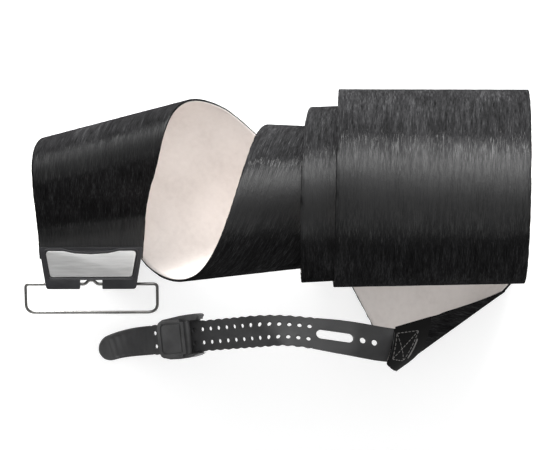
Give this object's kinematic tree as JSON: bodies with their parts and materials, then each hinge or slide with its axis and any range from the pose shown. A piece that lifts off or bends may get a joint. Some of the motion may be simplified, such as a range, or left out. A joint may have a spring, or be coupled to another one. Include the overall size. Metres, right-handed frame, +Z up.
{
  "type": "climbing skin",
  "caption": "Loosely rolled climbing skin for a ski: plush strip with an adhesive back, a tip buckle with a hinged wire loop, and a perforated tail strap with a sliding lever clip.",
  "frame": {"origin": "on the ground, under the middle of the whole object's bounding box", "axes": "+X along the roll's axis from the tip buckle to the closed roll, +Z up from the ground the roll rests on, +Y from the tail strap's side to the roll's far side"},
  "size_m": [0.357, 0.1961, 0.1382],
  "materials": {
    "plush": "black nylon plush with a nap that lies along the strip",
    "membrane": "thin dark membrane between plush and adhesive",
    "adhesive": "off-white, faintly pink tacky adhesive side",
    "black_plastic": "black moulded plastic with a satin surface",
    "plate_metal": "satin silver plate",
    "wire_metal": "bright steel wire and pins",
    "strap_rubber": "black rubbery strap with soft cross ridges at its tip",
    "webbing": "black woven patch",
    "thread": "grey thread"
  },
  "bodies": {
    "skin": {"plush_fabric": "plush", "membrane": "membrane", "adhesive_layer": "adhesive", "tip_front_shell": "black_plastic", "tip_back_shell": "black_plastic", "tip_plate": "plate_metal", "tip_rivet_1": "wire_metal", "tip_rivet_2": "wire_metal", "tip_rivet_3": "wire_metal", "tip_rivet_4": "wire_metal", "tail_strap": "strap_rubber", "tail_patch": "webbing", "box_stitch": "thread", "bar_stitch": "thread"},
    "wire": {"wire_loop": "wire_metal"},
    "clip": {"clip_body": "black_plastic", "lever_pin": "wire_metal"},
    "lever": {"clip_lever": "black_plastic"}
  },
  "joints": [
    {"name": "wire_hinge", "type": "hinge", "parent": "skin", "child": "wire", "pos_m": [-0.12965, -0.03783, 0.01256], "axis": [-0.9998, -0.0035, 0.0198], "range_deg": [-60, 140]},
    {"name": "clip_slide", "type": "slide", "parent": "skin", "child": "clip", "axis": [0.8082, 0.0864, 0.5825], "range_m": [-0.01, 0.01]},
    {"name": "lever_hinge", "type": "hinge", "parent": "clip", "child": "lever", "pos_m": [-0.06061, -0.07461, 0.04269], "axis": [-0.1079, 0.9942, 0.0023], "range_deg": [0, 85]}
  ]
}
